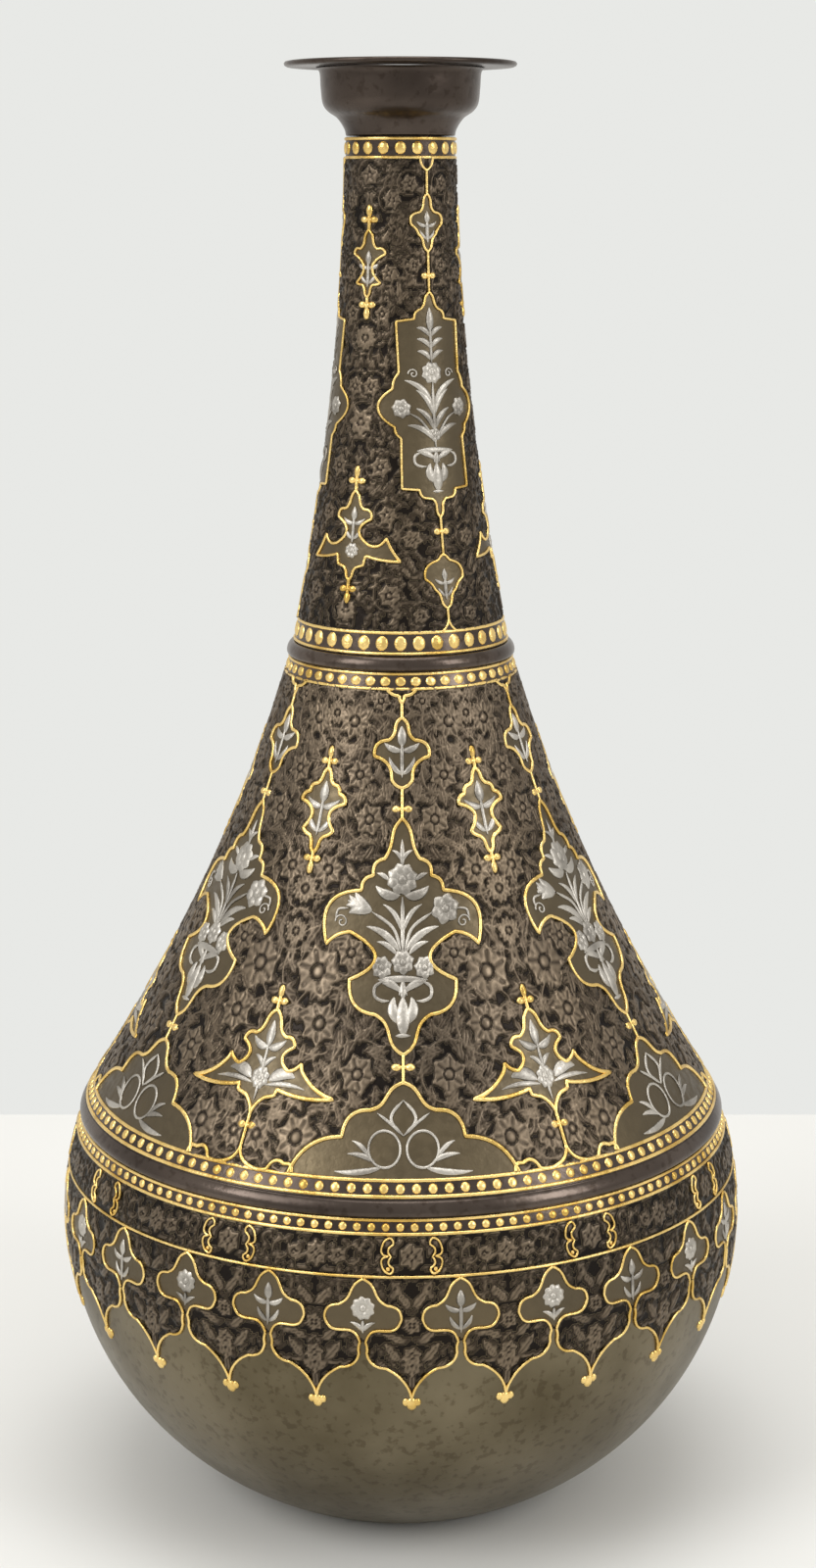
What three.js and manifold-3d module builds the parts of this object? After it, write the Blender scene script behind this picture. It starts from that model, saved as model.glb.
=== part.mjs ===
// A bottle vase of raised steel: a plain round bowl, a carved shoulder and neck, a cup mouth with a thin flat
// rim, gold bands at each seam and gold wire outlines on the shoulder, the neck and the belly.
import * as THREE from 'three';
import { mergeVertices } from 'three/addons/utils/BufferGeometryUtils.js';
import Module from 'manifold-3d';

const wasm = await Module();
wasm.setup();

// Driving dimensions in millimetres
const HEIGHT = 380;
const BELLY_RADIUS = 91.6;
const BELLY_HEIGHT = 77;
const BELLY_HALF_HEIGHT = 85.8;
const FOOT_RADIUS = 36;
const WALL = 1.6;
const SEAT_GAP = 0.3;
const GIRDLE = { low: 105.3, high: 109.3, proud: 1.0 };
const COLLAR = { low: 229.4, high: 233.0, proud: 1.1 };
const SHOULDER = { radius: 85.7, slope: 81.27, flare: 23.49, start: 109, span: 124 };
const NECK = { radius: 13.75, swell: 13.95, top: 361, span: 127, power: 1.85 };
const CUP = { low: 361.8, high: 378.2, radius: 20.2 };
const RIM = { radius: 29.4, inner: 18.6, thickness: 1.5 };
const BAND_PROUD = 0.35;
const WIRE = { width: 1.0, height: 0.45 };

// Each band's lower and upper edge
const BANDS = {
  belly_band: [101.0, 105.0],
  shoulder_base_band: [109.6, 113.6],
  shoulder_top_band: [224.6, 229.1],
  neck_base_band: [233.3, 239.2],
  neck_top_band: [356.0, 361.4],
};
const BELLY_LINE_HEIGHT = 91.4;

const BODY_SEGMENTS = 40;
const NECK_SEGMENTS = 24;

const steel = new THREE.MeshStandardMaterial({ color: 0x3a332f, roughness: 0.42, metalness: 0.9 });
const bowlSteel = new THREE.MeshStandardMaterial({ color: 0x6a625a, roughness: 0.38, metalness: 0.9 });
const gold = new THREE.MeshStandardMaterial({ color: 0xd9ae45, roughness: 0.3, metalness: 1 });

// Outer radius of the body at a height: an ellipse, then a concave shoulder, then a tapering neck
function bodyRadius(z) {
  if (z < GIRDLE.high) {
    return BELLY_RADIUS * Math.sqrt(1 - ((z - BELLY_HEIGHT) / BELLY_HALF_HEIGHT) ** 2);
  }
  if (z < COLLAR.high) {
    const t = (z - SHOULDER.start) / SHOULDER.span;
    return SHOULDER.radius - SHOULDER.slope * t + SHOULDER.flare * t * t;
  }
  const rise = Math.max(0, (NECK.top - z) / NECK.span);
  return NECK.radius + NECK.swell * rise ** NECK.power;
}

// Heights from low to high in equal steps
function steps(low, high, count) {
  return Array.from({ length: count + 1 }, (_, i) => low + ((high - low) * i) / count);
}

// Turns a closed outline of [radius, height] about the vertical axis
function revolve(outline, segments) {
  const points = outline.map(([radius, height]) => new THREE.Vector2(radius, height));
  const geometry = new THREE.LatheGeometry(points, segments);
  geometry.rotateX(Math.PI / 2);
  return closedGeometry(geometry);
}

// Merges shared corners, drops empty faces and turns the faces outwards
function closedGeometry(source) {
  const bare = new THREE.BufferGeometry();
  bare.setAttribute('position', source.getAttribute('position').clone());
  bare.setIndex(source.getIndex());
  const merged = mergeVertices(bare, 1e-4);
  const index = merged.getIndex().array;
  const kept = [];
  for (let i = 0; i < index.length; i += 3) {
    const [a, b, c] = [index[i], index[i + 1], index[i + 2]];
    if (a !== b && b !== c && c !== a) kept.push(a, b, c);
  }
  if (signedVolume(merged.getAttribute('position'), kept) < 0) {
    for (let i = 0; i < kept.length; i += 3) {
      [kept[i], kept[i + 1]] = [kept[i + 1], kept[i]];
    }
  }
  merged.setIndex(kept);
  merged.computeVertexNormals();
  return merged;
}

function signedVolume(position, index) {
  const [a, b, c] = [new THREE.Vector3(), new THREE.Vector3(), new THREE.Vector3()];
  let sum = 0;
  for (let i = 0; i < index.length; i += 3) {
    a.fromBufferAttribute(position, index[i]);
    b.fromBufferAttribute(position, index[i + 1]);
    c.fromBufferAttribute(position, index[i + 2]);
    sum += a.dot(b.cross(c));
  }
  return sum / 6;
}

// The wall between two heights as a closed ring outline: up the outside and down the inside
function wallOutline(low, high, count) {
  const outside = steps(low, high, count).map((z) => [bodyRadius(z), z]);
  const inside = steps(high, low, Math.ceil(count / 2)).map((z) => [bodyRadius(z) - WALL, z]);
  return [...outside, ...inside, outside[0]];
}

// The bowl stands on a flat foot and closes on the axis, inside and out
function bowlGeometry() {
  const top = GIRDLE.low - SEAT_GAP;
  const outside = steps(1.5, top, 11).map((z) => [bodyRadius(z), z]);
  const inside = steps(top, 6, 7).map((z) => [bodyRadius(z) - WALL * 1.15, z]);
  return revolve([[0, 0], [FOOT_RADIUS, 0], ...outside, ...inside, [FOOT_RADIUS, 2.4], [0, 2.4]], BODY_SEGMENTS);
}

// A half-round moulding across the seam between two sheets, with the wall's thickness inside
function mouldingGeometry({ low, high, proud }, segments) {
  const arc = steps(0, Math.PI, 4).map((angle) => {
    const z = low + ((high - low) * (1 - Math.cos(angle))) / 2;
    return [bodyRadius(z) + proud * (0.35 + Math.sin(angle)), z];
  });
  return revolve([...arc, [bodyRadius(high) - WALL, high], [bodyRadius(low) - WALL, low], arc[0]], segments);
}

// A gold band: a raised ridge along each edge with a sunk channel between them, seated on the wall
function bandGeometry([low, high], segments) {
  const ridge = 0.9;
  const face = (z, proud) => [bodyRadius(z) + SEAT_GAP / 2 + proud, z];
  const outline = [
    face(low, 0), face(low + ridge / 2, BAND_PROUD), face(low + ridge, BAND_PROUD / 2),
    face(high - ridge, BAND_PROUD / 2), face(high - ridge / 2, BAND_PROUD), face(high, 0),
  ];
  return revolve([...outline, outline[0]], segments);
}

function lineGeometry(height) {
  const half = WIRE.width / 2;
  const seat = (z) => bodyRadius(z) + SEAT_GAP / 2;
  const outline = [
    [seat(height - half), height - half], [seat(height) + WIRE.height, height],
    [seat(height + half), height + half], [seat(height - half), height - half],
  ];
  return revolve(outline, BODY_SEGMENTS);
}

// The mouth: the neck's end rolls outwards into a shallow cup with an upright wall
function cupGeometry() {
  const outside = [
    [NECK.radius + 0.1, CUP.low], [14.6, 364], [16.2, 366.2], [18.4, 367.8], [19.6, 369.6],
    [CUP.radius, 374], [20.6, CUP.high],
  ];
  const inside = [
    [19.0, CUP.high], [18.6, 374], [18.0, 370.4], [16.9, 369.0], [14.6, 367.4], [13.0, 365], [12.2, CUP.low],
  ];
  return revolve([...outside, ...inside, outside[0]], NECK_SEGMENTS);
}

// The thin flat disc on the mouth, with softened edges
function rimGeometry() {
  const low = HEIGHT - RIM.thickness;
  const soft = 0.4;
  const outline = [
    [RIM.inner, low], [RIM.radius - soft, low], [RIM.radius, low + soft], [RIM.radius, HEIGHT - soft],
    [RIM.radius - soft, HEIGHT], [RIM.inner, HEIGHT],
  ];
  return revolve([...outline, outline[0]], NECK_SEGMENTS);
}

// Half outlines of the gold wire frames, from the top point round the right side to the foot.
// Each entry is [degrees from the frame's centre line, height, bulge, ogee]: bulge is the arc's rise as a
// share of its chord, outwards if positive, and ogee is the rise of an S-shaped stretch.
const SHOULDER_CARTOUCHE = [
  [0, 193.9], [8.6, 182.7, 0, 0.07], [12.6, 178.9, 0.24], [16.4, 174.1, 0.22], [21.0, 164.5, 0.26],
  [14.3, 167.4, -0.1], [13.2, 156.2, -0.5], [6.4, 148.8, 0.22], [0, 140, 0, -0.07],
];
const SHOULDER_SMALL_CARTOUCHE = [
  [0, 218.1], [5.6, 212.6, 0, 0.07], [11.2, 208.6, 0.26], [4.0, 203.1, -0.22], [0, 201.1, 0.12],
];
const SHOULDER_LOZENGE = [
  [0, 205], [3.6, 201.1, 0, 0.06], [6.2, 199.0, 0.25], [9.1, 196.8, 0.2], [5.9, 190.1, -0.42],
  [2.9, 188.7, 0.1], [0, 184.6, 0, -0.06],
];
const SHOULDER_SPREAD_LEAF = [
  [0, 147.9], [3.7, 142.1, 0, 0.06], [6.3, 140.2, 0.25], [5.8, 134.8, -0.45], [8.6, 136.9, -0.12],
  [9.4, 134.6, -0.1], [16.3, 129.8, -0.08], [4.3, 130.6, 0.05], [0, 124.6, -0.1],
];
const SHOULDER_FOOT_ARCH = [
  [0, 134], [6.3, 128, 0, 0.06], [11.3, 122.1, 0.22], [20, 114.6, 0.14],
];
const WIRE_STEP = 5;

// Walks a half outline: each stretch is a chord with an arc or an S-shaped rise at right angles to it
function halfPath(half) {
  const flat = half.map(([angle, z]) => new THREE.Vector2(THREE.MathUtils.degToRad(angle) * bodyRadius(z), z));
  const path = [flat[0]];
  for (let i = 1; i < half.length; i += 1) {
    const [, , bulge = 0, ogee = 0] = half[i];
    const along = flat[i].clone().sub(flat[i - 1]);
    const outward = new THREE.Vector2(-along.y, along.x);
    const curved = bulge !== 0 || ogee !== 0;
    const count = curved ? Math.max(1, Math.round(along.length() / WIRE_STEP)) : 1;
    for (let k = 1; k <= count; k += 1) {
      const t = k / count;
      const rise = 4 * bulge * t * (1 - t) + ogee * Math.sin(2 * Math.PI * t);
      path.push(flat[i - 1].clone().addScaledVector(along, t).addScaledVector(outward, rise));
    }
  }
  return path;
}

// Puts a point given by distance round the body and height onto the body, raised by a lift
function onBody(centre, point, lift) {
  const radius = bodyRadius(point.y);
  const angle = THREE.MathUtils.degToRad(centre) + point.x / radius;
  const reach = radius + SEAT_GAP / 2 + lift;
  return [reach * Math.sin(angle), -reach * Math.cos(angle), point.y];
}

// A ridged wire of three sides along a path on the body, as a closed loop or with closed ends
function wireGeometry(centre, path, closed) {
  const count = path.length;
  const corners = [];
  path.forEach((point, i) => {
    const before = path[closed ? (i + count - 1) % count : Math.max(0, i - 1)];
    const after = path[closed ? (i + 1) % count : Math.min(count - 1, i + 1)];
    const forward = after.clone().sub(before).normalize();
    const side = new THREE.Vector2(-forward.y, forward.x).multiplyScalar(WIRE.width / 2);
    corners.push(...onBody(centre, point.clone().add(side), 0));
    corners.push(...onBody(centre, point.clone().sub(side), 0));
    corners.push(...onBody(centre, point, WIRE.height));
  });
  const faces = [];
  const rings = closed ? count : count - 1;
  for (let i = 0; i < rings; i += 1) {
    const next = (i + 1) % count;
    for (let k = 0; k < 3; k += 1) {
      const [a, b] = [3 * i + k, 3 * i + ((k + 1) % 3)];
      const [c, d] = [3 * next + k, 3 * next + ((k + 1) % 3)];
      faces.push(a, b, c, b, d, c);
    }
  }
  if (!closed) {
    const last = 3 * (count - 1);
    faces.push(0, 2, 1, last, last + 1, last + 2);
  }
  const geometry = new THREE.BufferGeometry();
  geometry.setAttribute('position', new THREE.Float32BufferAttribute(corners, 3));
  geometry.setIndex(faces);
  return closedGeometry(geometry);
}

function frameWire(centre, half) {
  const right = halfPath(half);
  const left = right.slice(1, -1).reverse().map((point) => new THREE.Vector2(-point.x, point.y));
  return wireGeometry(centre, [...right, ...left], true);
}

function archWire(centre, half) {
  const right = halfPath(half);
  const left = right.slice(1).reverse().map((point) => new THREE.Vector2(-point.x, point.y));
  return wireGeometry(centre, [...left, ...right], false);
}

// A straight stem down the centre line, and the short bar that ties it
function stemWire(centre, high, low) {
  return wireGeometry(centre, steps(high, low, 1).map((z) => new THREE.Vector2(0, z)), false);
}
function barWire(centre, height, half) {
  return wireGeometry(centre, steps(-half, half, 1).map((x) => new THREE.Vector2(x, height)), false);
}

// Joins wires that cross into one solid
function joined(wires) {
  const solids = wires.map((wire) => new wasm.Manifold(new wasm.Mesh({
    numProp: 3,
    vertProperties: Float32Array.from(wire.getAttribute('position').array),
    triVerts: Uint32Array.from(wire.getIndex().array),
  })));
  const result = solids.reduce((sum, solid) => sum.add(solid)).getMesh();
  const geometry = new THREE.BufferGeometry();
  geometry.setAttribute('position', new THREE.BufferAttribute(result.vertProperties, 3));
  geometry.setIndex(new THREE.BufferAttribute(result.triVerts, 1));
  return closedGeometry(geometry);
}

const vase = new THREE.Group();
vase.name = 'vase';

function add(name, geometry, material) {
  const mesh = new THREE.Mesh(geometry, material);
  mesh.name = name;
  vase.add(mesh);
}

add('bowl', bowlGeometry(), bowlSteel);
add('girdle_moulding', mouldingGeometry(GIRDLE, BODY_SEGMENTS), steel);
add('shoulder', revolve(wallOutline(GIRDLE.high + SEAT_GAP, COLLAR.low - SEAT_GAP, 9), BODY_SEGMENTS), steel);
add('collar_moulding', mouldingGeometry(COLLAR, NECK_SEGMENTS), steel);
add('neck', revolve(wallOutline(COLLAR.high + SEAT_GAP, CUP.low - SEAT_GAP, 10), NECK_SEGMENTS), steel);
add('mouth_cup', cupGeometry(), steel);
add('rim_flange', rimGeometry(), steel);

Object.entries(BANDS).forEach(([name, edges]) => {
  const segments = edges[0] > COLLAR.low ? NECK_SEGMENTS : BODY_SEGMENTS;
  add(name, bandGeometry(edges, segments), gold);
});
add('belly_line', lineGeometry(BELLY_LINE_HEIGHT), gold);

const SHOULDER_REPEATS = 6;
for (let i = 0; i < SHOULDER_REPEATS; i += 1) {
  const centre = (360 / SHOULDER_REPEATS) * i;
  const between = centre + 180 / SHOULDER_REPEATS;
  const number = i + 1;
  add(`shoulder_cartouche_${number}`, joined([
    frameWire(centre, SHOULDER_SMALL_CARTOUCHE),
    frameWire(centre, SHOULDER_CARTOUCHE),
    archWire(centre, SHOULDER_FOOT_ARCH),
    stemWire(centre, 223.6, 217.8),
    stemWire(centre, 201.4, 193.5),
    stemWire(centre, 140.4, 133.6),
    barWire(centre, 196.1, 2.5),
    barWire(centre, 137.3, 2.8),
  ]), gold);
  add(`shoulder_lozenge_${number}`, joined([
    frameWire(between, SHOULDER_LOZENGE),
    stemWire(between, 210.2, 204.6),
    stemWire(between, 184.9, 180.3),
    barWire(between, 206.7, 2.1),
    barWire(between, 183.3, 1.9),
  ]), gold);
  add(`shoulder_spread_leaf_${number}`, joined([
    frameWire(between, SHOULDER_SPREAD_LEAF),
    stemWire(between, 153.5, 147.5),
    stemWire(between, 125.0, 114.6),
    barWire(between, 149.9, 2.8),
    barWire(between, 122.1, 2.4),
  ]), gold);
}

export default vase;
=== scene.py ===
"""A damascened steel bottle vase: carved relief, gold wire frames and bands, silver flowers, satin bowl.

Everything is laid out on the body in flat coordinates: x is the distance in millimetres round the body from a
centre line, z is the height in millimetres. The body is a surface of revolution about +Z.
"""

import math

import bpy
import numpy as np
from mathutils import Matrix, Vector


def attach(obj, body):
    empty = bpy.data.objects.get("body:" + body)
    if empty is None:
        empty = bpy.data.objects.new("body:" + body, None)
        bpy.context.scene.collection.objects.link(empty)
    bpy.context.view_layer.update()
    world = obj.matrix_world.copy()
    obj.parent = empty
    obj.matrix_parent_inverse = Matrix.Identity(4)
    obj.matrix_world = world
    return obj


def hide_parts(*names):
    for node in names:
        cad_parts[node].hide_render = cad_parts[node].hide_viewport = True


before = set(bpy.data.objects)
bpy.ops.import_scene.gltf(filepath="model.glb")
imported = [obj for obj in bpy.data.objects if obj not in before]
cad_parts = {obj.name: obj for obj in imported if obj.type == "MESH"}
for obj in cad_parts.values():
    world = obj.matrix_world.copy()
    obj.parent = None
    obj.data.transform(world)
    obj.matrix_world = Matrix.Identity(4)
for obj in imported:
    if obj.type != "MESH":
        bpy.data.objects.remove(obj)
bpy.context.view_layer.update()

MM = 0.001

# The body's driving sizes, in millimetres
BOWL_RADIUS, BOWL_CENTRE, BOWL_HALF_HEIGHT = 91.6, 77, 85.8
GIRDLE_BOTTOM, GIRDLE_TOP = 105.3, 109.3
SHOULDER_FOOT, SHOULDER_HEIGHT = 109, 124
SHOULDER_RADIUS, SHOULDER_SLOPE, SHOULDER_CURVE = 85.7, 81.27, 23.49
COLLAR_BOTTOM, COLLAR_TOP = 229.4, 233.0
NECK_TOP, NECK_HEIGHT = 361, 127
NECK_RADIUS, NECK_SPREAD, NECK_POWER = 13.75, 13.95, 1.85
WALL = 1.6

# How often the ornament repeats, and the angle of its first centre line in degrees
SHOULDER_REPEATS, SHOULDER_TURN = 6, 0.6
NECK_REPEATS, NECK_TURN = 3, 27.5
MEDALLIONS, LAPPETS, BELLY_TURN = 12, 24, 1.8

# Degrees from one repeat to the next
SHOULDER_PITCH = 360 / SHOULDER_REPEATS
NECK_PITCH = 360 / NECK_REPEATS
MEDALLION_PITCH = 360 / MEDALLIONS
LAPPET_PITCH = 360 / LAPPETS

SEED = 7
SLOPE_STEP = 0.05
CAMERA_PLACE, CAMERA_PITCH, CAMERA_LENS = (0.0019, -0.700, 0.350), 12.589, 61.73


def make_camera():
    """The photograph's viewpoint, looking a little down at the vase."""
    data = bpy.data.cameras.new("camera")
    data.sensor_fit = "VERTICAL"
    data.sensor_height = 36.0
    data.lens = CAMERA_LENS
    camera = bpy.data.objects.new("camera", data)
    camera.location = CAMERA_PLACE
    camera.rotation_euler = (math.radians(90 - CAMERA_PITCH), 0, 0)
    bpy.context.collection.objects.link(camera)
    bpy.context.scene.camera = camera


make_camera()


def body_radius(z):
    """An ellipse for the bowl, a falling quadratic for the shoulder and a power curve for the neck."""
    z = np.asarray(z, float)
    bowl = BOWL_RADIUS * np.sqrt(np.clip(1 - ((z - BOWL_CENTRE) / BOWL_HALF_HEIGHT) ** 2, 0, 1))
    t = (z - SHOULDER_FOOT) / SHOULDER_HEIGHT
    shoulder = SHOULDER_RADIUS - SHOULDER_SLOPE * t + SHOULDER_CURVE * t * t
    neck = NECK_RADIUS + NECK_SPREAD * np.clip((NECK_TOP - z) / NECK_HEIGHT, 0, None) ** NECK_POWER
    return np.where(z < GIRDLE_TOP, bowl, np.where(z < COLLAR_TOP, shoulder, neck))


def on_body(angle, z, lift):
    """A point at an angle in radians and a height, raised by lift along the surface's normal, in metres."""
    slope = (body_radius(z + SLOPE_STEP) - body_radius(z - SLOPE_STEP)) / (2 * SLOPE_STEP)
    length = np.sqrt(1 + slope ** 2)
    reach = body_radius(z) + lift / length
    height = z - lift * slope / length
    return np.stack([reach * np.sin(angle), -reach * np.cos(angle), height], axis=-1) * MM


def wrapped(x, z, centre):
    """The angle of a flat point: its distance round the body over the radius, plus the centre line's."""
    return np.radians(centre) + x / body_radius(z)


def full_turn(count):
    """Even angles round a circle."""
    return np.linspace(0, 2 * np.pi, count, endpoint=False)


class Batch:
    """Collects grids of points with their faces about a centre line, and builds one object from them."""

    def __init__(self, centre=0.0):
        self.centre = centre
        self.points, self.faces, self.count = [], [], 0

    def add(self, points, faces):
        """A grid, its faces numbered on from the points before it."""
        self.points.append(points.reshape(-1, 3))
        self.faces.append(faces + self.count)
        self.count += self.points[-1].shape[0]

    def build(self, name, material, replaces=(), shade=None):
        """The object, smooth shaded, with the carving's levels as an attribute where they are given."""
        mesh = bpy.data.meshes.new(name)
        faces = np.concatenate(self.faces)
        mesh.from_pydata(np.concatenate(self.points).tolist(), [], faces.tolist())
        if shade is not None:
            layer = mesh.attributes.new("relief", "FLOAT", "POINT")
            layer.data.foreach_set("value", shade.astype(np.float32).ravel())
        mesh.polygons.foreach_set("use_smooth", np.ones(len(mesh.polygons), bool))
        mesh.materials.append(material)
        piece = bpy.data.objects.new(name, mesh)
        bpy.context.collection.objects.link(piece)
        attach(piece, "root")
        if replaces:
            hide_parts(*replaces)
        return piece


def grid_faces(rows, columns, wrap_rows=False, wrap_columns=False):
    """Quads of a grid, with rows or columns joined end to end where they wrap."""
    r = np.arange(rows if wrap_rows else rows - 1)[:, None]
    c = np.arange(columns if wrap_columns else columns - 1)[None, :]
    r2, c2 = (r + 1) % rows, (c + 1) % columns
    quads = [r * columns + c, r * columns + c2, r2 * columns + c2, r2 * columns + c]
    return np.stack([q + 0 * (r + c) for q in quads], axis=-1).reshape(-1, 4)


# A half-round section: how far across and how high each of its points is, as shares
ROUND = np.array([(-1, 0), (-0.72, 0.72), (0, 1), (0.72, 0.72), (1, 0)])


def stroke(batch, path, width, height, closed=False, base=0.0):
    """A raised line: a half-round section carried along a path, as wide and high as given at each point."""
    path = np.asarray(path, float)
    ahead = np.roll(path, -1, 0) - np.roll(path, 1, 0)
    if not closed:
        ahead[0], ahead[-1] = path[1] - path[0], path[-1] - path[-2]
    ahead /= np.maximum(np.linalg.norm(ahead, axis=1, keepdims=True), 1e-9)
    side = np.stack([ahead[:, 1], -ahead[:, 0]], axis=1)
    half = np.broadcast_to(np.asarray(width, float) / 2, path.shape[:1])
    flat = path[:, None, :] + side[:, None, :] * half[:, None, None] * ROUND[None, :, :1]
    rise = base + np.broadcast_to(height, path.shape[:1])[:, None] * ROUND[None, :, 1]
    angle = wrapped(flat[..., 0], flat[..., 1], batch.centre)
    batch.add(on_body(angle, flat[..., 1], rise), grid_faces(len(path), len(ROUND), closed, True))


def resample(path, step, closed=False):
    """The same path with points at even distances."""
    path = np.asarray(path, float)
    if closed:
        path = np.vstack([path, path[:1]])
    run = np.concatenate([[0], np.cumsum(np.linalg.norm(np.diff(path, axis=0), axis=1))])
    count = max(3, int(run[-1] / step) + 1)
    at = np.linspace(0, run[-1], count)
    even = np.stack([np.interp(at, run, path[:, 0]), np.interp(at, run, path[:, 1])], axis=1)
    return even[:-1] if closed else even


def half_path(half):
    """A frame's right half: chords that rise sideways as a parabola (bulge) or a sine wave (ogee)."""
    rows = [tuple(row) + (0, 0, 0, 0)[len(row):] for row in half]
    flat = [np.array([math.radians(a) * float(body_radius(z)), z]) for a, z, _, _ in rows]
    t = np.linspace(0, 1, 13)[1:, None]
    path = [flat[0][None, :]]
    for i in range(1, len(rows)):
        along = flat[i] - flat[i - 1]
        outward = np.array([-along[1], along[0]])
        rise = 4 * rows[i][2] * t * (1 - t) + rows[i][3] * np.sin(2 * np.pi * t)
        path.append(flat[i - 1] + along * t + outward * rise)
    return np.vstack(path)


def mirrored(path):
    """The same path on the other side of its centre line."""
    return path * [-1, 1]


def whole_path(half):
    """A frame's right half and its mirror image as one loop."""
    right = half_path(half)
    return np.vstack([right, mirrored(right[-2:0:-1])])


WIRE, WIRE_HEIGHT, WIRE_STEP = 1.05, 0.74, 0.45


def frame_wire(batch, half, width=WIRE):
    """A closed gold frame."""
    path = resample(whole_path(half), WIRE_STEP, True)
    stroke(batch, path, width, WIRE_HEIGHT, True)


def side_wires(batch, half, width=WIRE):
    """An open wire and its mirror image."""
    right = resample(half_path(half), WIRE_STEP)
    stroke(batch, right, width, WIRE_HEIGHT)
    stroke(batch, mirrored(right[::-1]), width, WIRE_HEIGHT)


def stem_wire(batch, high, low, width=WIRE):
    """A straight wire down the centre line."""
    stroke(batch, resample([(0, high), (0, low)], WIRE_STEP), width, WIRE_HEIGHT)


# A dome's rings: each one's size and height, as shares
DOME_SIZES = (1.0, 0.86, 0.5, 0.02)
DOME_RISES = (0.0, 0.62, 0.93, 1.0)


def dome(batch, x, z, rx, rz, height, sides=12):
    """A low dome: rings of an ellipse that shrink as they rise, the last one almost to a point."""
    turn = full_turn(sides)[None, :]
    ring = np.array(DOME_SIZES)[:, None]
    rise = np.array(DOME_RISES)[:, None] * height + 0 * turn
    px = x + rx * ring * np.cos(turn)
    pz = z + rz * ring * np.sin(turn)
    points = on_body(wrapped(px, pz, batch.centre), pz, rise)
    batch.add(points, grid_faces(len(DOME_SIZES), sides, False, True))


KNOT_HEIGHT, FINIAL_HALF = 0.85, 2.3


def knot(batch, z, half):
    """The tie on a stem: two beads side by side and a short bar."""
    for side in (-1, 1):
        dome(batch, side * half * 0.62, z, half * 0.5, 0.95, KNOT_HEIGHT)
    stroke(batch, resample([(-half * 0.7, z), (half * 0.7, z)], 0.4), 0.9, 0.7)


def finial(batch, z, up, root):
    """A long bead beyond a tie, joined to the frame's point by a stem."""
    knot(batch, z, FINIAL_HALF)
    dome(batch, 0, z + up * 2.2, 0.95, 1.7, KNOT_HEIGHT)
    stem_wire(batch, z + up, root, 1.2)


# Half outlines: (degrees from the centre line, height, bulge, ogee)
SHOULDER_CARTOUCHE = [
    (0, 194.0), (5.6, 184.4, 0.03, 0.04), (8.9, 180.4, 0.24), (12.2, 176.9, 0.22), (20.5, 164.0, 0.3),
    (14.3, 167.2, -0.1), (13.2, 156.4, -0.6), (6.4, 148.8, 0.26), (0, 140, 0, -0.07)]
SMALL_CARTOUCHE = [
    (0, 218.1), (5.6, 212.6, 0, 0.07), (11.2, 208.6, 0.26), (4.0, 203.1, -0.22), (0, 201.1, 0.12)]
FOOT_ARCH = [(0, 134), (6.3, 128, 0, 0.06), (11.3, 122.1, 0.22), (20, 113.6, 0.14)]
TOP_FLARE = [(0, 221.5), (1.2, 223.4, -0.1), (7, 225.0, -0.15)]
LOZENGE = [
    (0, 205), (3.6, 201.1, 0, 0.06), (6.2, 199.0, 0.25), (9.1, 196.8, 0.2), (5.9, 190.1, -0.42),
    (2.9, 188.7, 0.1), (0, 184.6, 0, -0.06)]
SPREAD_LEAF = [
    (0, 147.9), (3.7, 142.1, 0, 0.06), (6.3, 140.2, 0.25), (5.8, 134.8, -0.45), (8.6, 136.9, -0.12),
    (9.4, 134.6, -0.1), (16.3, 129.8, -0.08), (4.3, 130.6, 0.05), (4.2, 129.2), (2.2, 128.5),
    (0, 124.6, -0.1)]
STEM_FOOT = [(0, 117.5), (1.2, 114.6, -0.1), (6, 113.6, -0.1), (9, 115.2, 0.3), (10.6, 113.6, 0.3)]
NECK_CARTOUCHE = [
    (0, 323.4), (9, 319.2, 0, 0.05), (15, 316.8, 0.2), (31.5, 316.2), (29, 303.4), (34, 299.5, 0.1),
    (32, 290.0, 0.42), (27, 287.2, 0.15), (26.4, 274.6), (14, 274.3), (11, 272.3, 0.15), (4.8, 272.0),
    (0, 267.3, 0, -0.06)]
NECK_SMALL = [(0, 258), (5.5, 256.4, 0, 0.06), (12.6, 252.0, 0.22), (6.8, 249.3, -0.1), (0, 244.5, 0, -0.06)]
NECK_UPPER = [(0, 347.6), (8, 343, 0, 0.06), (17, 340, 0.3), (9.5, 337.6, -0.1), (0, 333.3, 0, -0.06)]
NECK_LOZENGE = [
    (0, 338.7), (9.5, 334, 0, 0.06), (18, 332.7, 0.3), (13.4, 325.6, -0.4), (6, 325.2, 0.1),
    (0, 322, 0, -0.06)]
NECK_LEAF = [
    (0, 274), (7.2, 269.3, 0, 0.05), (13.0, 267, 0.3), (11.4, 260.6, -0.45), (23.5, 262.4, -0.25),
    (32.6, 256.5, -0.05), (10.4, 257.8, 0.04), (9, 255.3), (4.6, 254.8), (0, 251.5, 0, -0.06)]
NECK_FOOT_FLARE = [(0, 241.6), (4.5, 238.8, -0.1)]
NECK_TOP_FLARE = [(0, 353.2), (7, 356.4, -0.15)]
UPPER_LAPPET = [(0, 90.9), (3.8, 84.4, 0, 0.06), (5.9, 81.0, 0.24), (0.45, 75.1, 0, 0.12)]
PENDANT = [(7.1, 75.1), (6.9, 72.0, -0.08), (4.0, 68.1, 0.2), (0, 59.6, -0.12)]
MEDALLION = [(3.4, 100.6), (2.9, 99.0, -0.2), (3.2, 96.2, 0.35), (2.9, 93.6, 0.35), (3.4, 92.2, -0.2)]
PANEL_END = [(3.4, 100.6), (4.6, 98.8, 0.15), (3.6, 96.3, 0.35), (4.6, 94.0, 0.35), (3.4, 92.2, 0.15)]
PANEL_MIDDLE, BELLY_LINE = 96.3, 91.4

# Levels of the carving, from 0 in the deepest cuts to 1 on the tops
PLAIN, WIRE_BED, BAND_BED, TAKEN = 0.12, 0.3, 0.1, 0.3


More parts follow.
